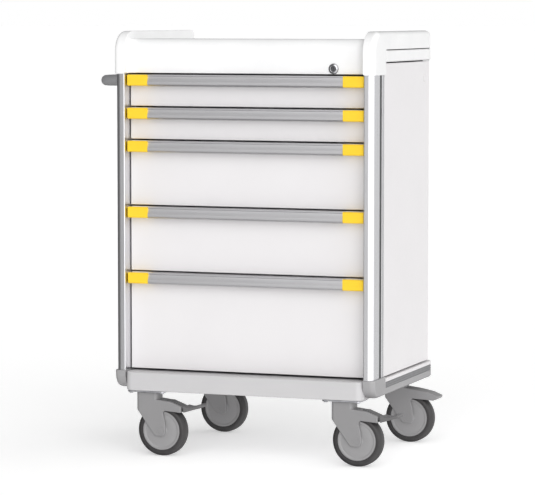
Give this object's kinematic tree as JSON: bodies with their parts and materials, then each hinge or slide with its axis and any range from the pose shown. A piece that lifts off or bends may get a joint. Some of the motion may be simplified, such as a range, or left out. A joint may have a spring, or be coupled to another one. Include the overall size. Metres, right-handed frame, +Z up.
{
  "type": "crash cart",
  "caption": "Hospital crash cart: stacked drawers with full-width pull rails, pull-out side shelf, push handle and swivel casters.",
  "frame": {"origin": "bottom centre of the cart's overall box, on the floor", "axes": "+Z up; -Y is the drawer side, where the user stands; +X is the cart's side with the pull-out shelf, -X the side with the push handle"},
  "size_m": [0.813, 0.493, 1.031],
  "materials": {
    "base_grey": "fine satin texture",
    "strip_grey": "soft matt",
    "column_aluminium": "satin anodised, drawn lengthwise",
    "rail_aluminium": "satin anodised, drawn lengthwise",
    "panel_white": "powder coat with light orange peel",
    "drawer_white": "satin moulded plastic",
    "cover_white": "smooth moulded plastic",
    "zinc_steel": "zinc plated",
    "chrome": "polished",
    "handle_grey": "dark satin coating",
    "cap_yellow": "satin moulded plastic",
    "caster_grey": "satin moulded nylon",
    "hub_grey": "satin moulded nylon",
    "tyre_rubber": "soft grey tread rubber",
    "pedal_grey": "satin moulded nylon"
  },
  "bodies": {
    "root": {"base_tray": "base_grey", "bumper_strip": "strip_grey", "column_left": "column_aluminium", "column_insert_left": "strip_grey", "side_panel_left": "panel_white", "runner_frame_left": "zinc_steel", "column_right": "column_aluminium", "column_insert_right": "strip_grey", "side_panel_right": "panel_white", "runner_frame_right": "zinc_steel", "back_panel": "panel_white", "top_deck": "zinc_steel", "top_cover": "cover_white", "cover_ear_left": "cover_white", "cover_ear_right": "cover_white", "lock_body": "chrome", "panel_plug": "cover_white", "push_handle": "handle_grey", "handle_flange_front": "strip_grey", "handle_flange_rear": "strip_grey", "caster_plate_front_left": "zinc_steel", "caster_plate_rear_left": "zinc_steel", "caster_plate_front_right": "zinc_steel", "caster_plate_rear_right": "zinc_steel"},
    "drawer_1": {"drawer_1": "drawer_white", "handle_rail_1": "rail_aluminium", "rail_cap_left_1": "cap_yellow", "rail_cap_right_1": "cap_yellow"},
    "drawer_2": {"drawer_2": "drawer_white", "handle_rail_2": "rail_aluminium", "rail_cap_left_2": "cap_yellow", "rail_cap_right_2": "cap_yellow"},
    "drawer_3": {"drawer_3": "drawer_white", "handle_rail_3": "rail_aluminium", "rail_cap_left_3": "cap_yellow", "rail_cap_right_3": "cap_yellow"},
    "drawer_4": {"drawer_4": "drawer_white", "handle_rail_4": "rail_aluminium", "rail_cap_left_4": "cap_yellow", "rail_cap_right_4": "cap_yellow"},
    "drawer_5": {"drawer_5": "drawer_white", "handle_rail_5": "rail_aluminium", "rail_cap_left_5": "cap_yellow", "rail_cap_right_5": "cap_yellow"},
    "side_shelf": {"side_shelf": "cover_white"},
    "lock_plug": {"lock_plug": "chrome"},
    "caster_front_left": {"caster_fork_front_left": "caster_grey"},
    "wheel_front_left": {"caster_hub_front_left": "hub_grey", "caster_tyre_front_left": "tyre_rubber"},
    "brake_front_left": {"brake_pedal_front_left": "pedal_grey"},
    "caster_rear_left": {"caster_fork_rear_left": "caster_grey"},
    "wheel_rear_left": {"caster_hub_rear_left": "hub_grey", "caster_tyre_rear_left": "tyre_rubber"},
    "caster_front_right": {"caster_fork_front_right": "caster_grey"},
    "wheel_front_right": {"caster_hub_front_right": "hub_grey", "caster_tyre_front_right": "tyre_rubber"},
    "brake_front_right": {"brake_pedal_front_right": "pedal_grey"},
    "caster_rear_right": {"caster_fork_rear_right": "caster_grey"},
    "wheel_rear_right": {"caster_hub_rear_right": "hub_grey", "caster_tyre_rear_right": "tyre_rubber"}
  },
  "joints": [
    {"name": "drawer_1_slide", "type": "slide", "parent": "root", "child": "drawer_1", "axis": [0, -1, 0], "range_m": [0, 0.3]},
    {"name": "drawer_2_slide", "type": "slide", "parent": "root", "child": "drawer_2", "axis": [0, -1, 0], "range_m": [0, 0.3]},
    {"name": "drawer_3_slide", "type": "slide", "parent": "root", "child": "drawer_3", "axis": [0, -1, 0], "range_m": [0, 0.3]},
    {"name": "drawer_4_slide", "type": "slide", "parent": "root", "child": "drawer_4", "axis": [0, -1, 0], "range_m": [0, 0.3]},
    {"name": "drawer_5_slide", "type": "slide", "parent": "root", "child": "drawer_5", "axis": [0, -1, 0], "range_m": [0, 0.3]},
    {"name": "side_shelf_slide", "type": "slide", "parent": "root", "child": "side_shelf", "axis": [1, 0, 0], "range_m": [0, 0.28]},
    {"name": "lock_turn", "type": "hinge", "parent": "root", "child": "lock_plug", "pos_m": [0.2375, -0.2165, 0.943], "axis": [0, 1, 0], "range_deg": [0, 90]},
    {"name": "caster_front_left_swivel", "type": "hinge", "parent": "root", "child": "caster_front_left", "pos_m": [-0.2335, -0.2165, 0.14], "axis": [0, 0, 1], "continuous": true},
    {"name": "wheel_front_left_spin", "type": "hinge", "parent": "caster_front_left", "child": "wheel_front_left", "pos_m": [-0.1979, -0.2165, 0.06226], "axis": [0, 1, 0], "continuous": true},
    {"name": "brake_front_left_press", "type": "hinge", "parent": "caster_front_left", "child": "brake_front_left", "pos_m": [-0.1775, -0.2165, 0.131], "axis": [0, 1, 0], "range_deg": [0, 8]},
    {"name": "caster_rear_left_swivel", "type": "hinge", "parent": "root", "child": "caster_rear_left", "pos_m": [-0.2335, 0.2005, 0.14], "axis": [0, 0, 1], "continuous": true},
    {"name": "wheel_rear_left_spin", "type": "hinge", "parent": "caster_rear_left", "child": "wheel_rear_left", "pos_m": [-0.1979, 0.2005, 0.06226], "axis": [0, 1, 0], "continuous": true},
    {"name": "caster_front_right_swivel", "type": "hinge", "parent": "root", "child": "caster_front_right", "pos_m": [0.2665, -0.2165, 0.14], "axis": [0, 0, 1], "continuous": true},
    {"name": "wheel_front_right_spin", "type": "hinge", "parent": "caster_front_right", "child": "wheel_front_right", "pos_m": [0.3021, -0.2165, 0.06226], "axis": [0, 1, 0], "continuous": true},
    {"name": "brake_front_right_press", "type": "hinge", "parent": "caster_front_right", "child": "brake_front_right", "pos_m": [0.3225, -0.2165, 0.131], "axis": [0, 1, 0], "range_deg": [0, 8]},
    {"name": "caster_rear_right_swivel", "type": "hinge", "parent": "root", "child": "caster_rear_right", "pos_m": [0.2665, 0.2005, 0.14], "axis": [0, 0, 1], "continuous": true},
    {"name": "wheel_rear_right_spin", "type": "hinge", "parent": "caster_rear_right", "child": "wheel_rear_right", "pos_m": [0.3021, 0.2005, 0.06226], "axis": [0, 1, 0], "continuous": true}
  ]
}
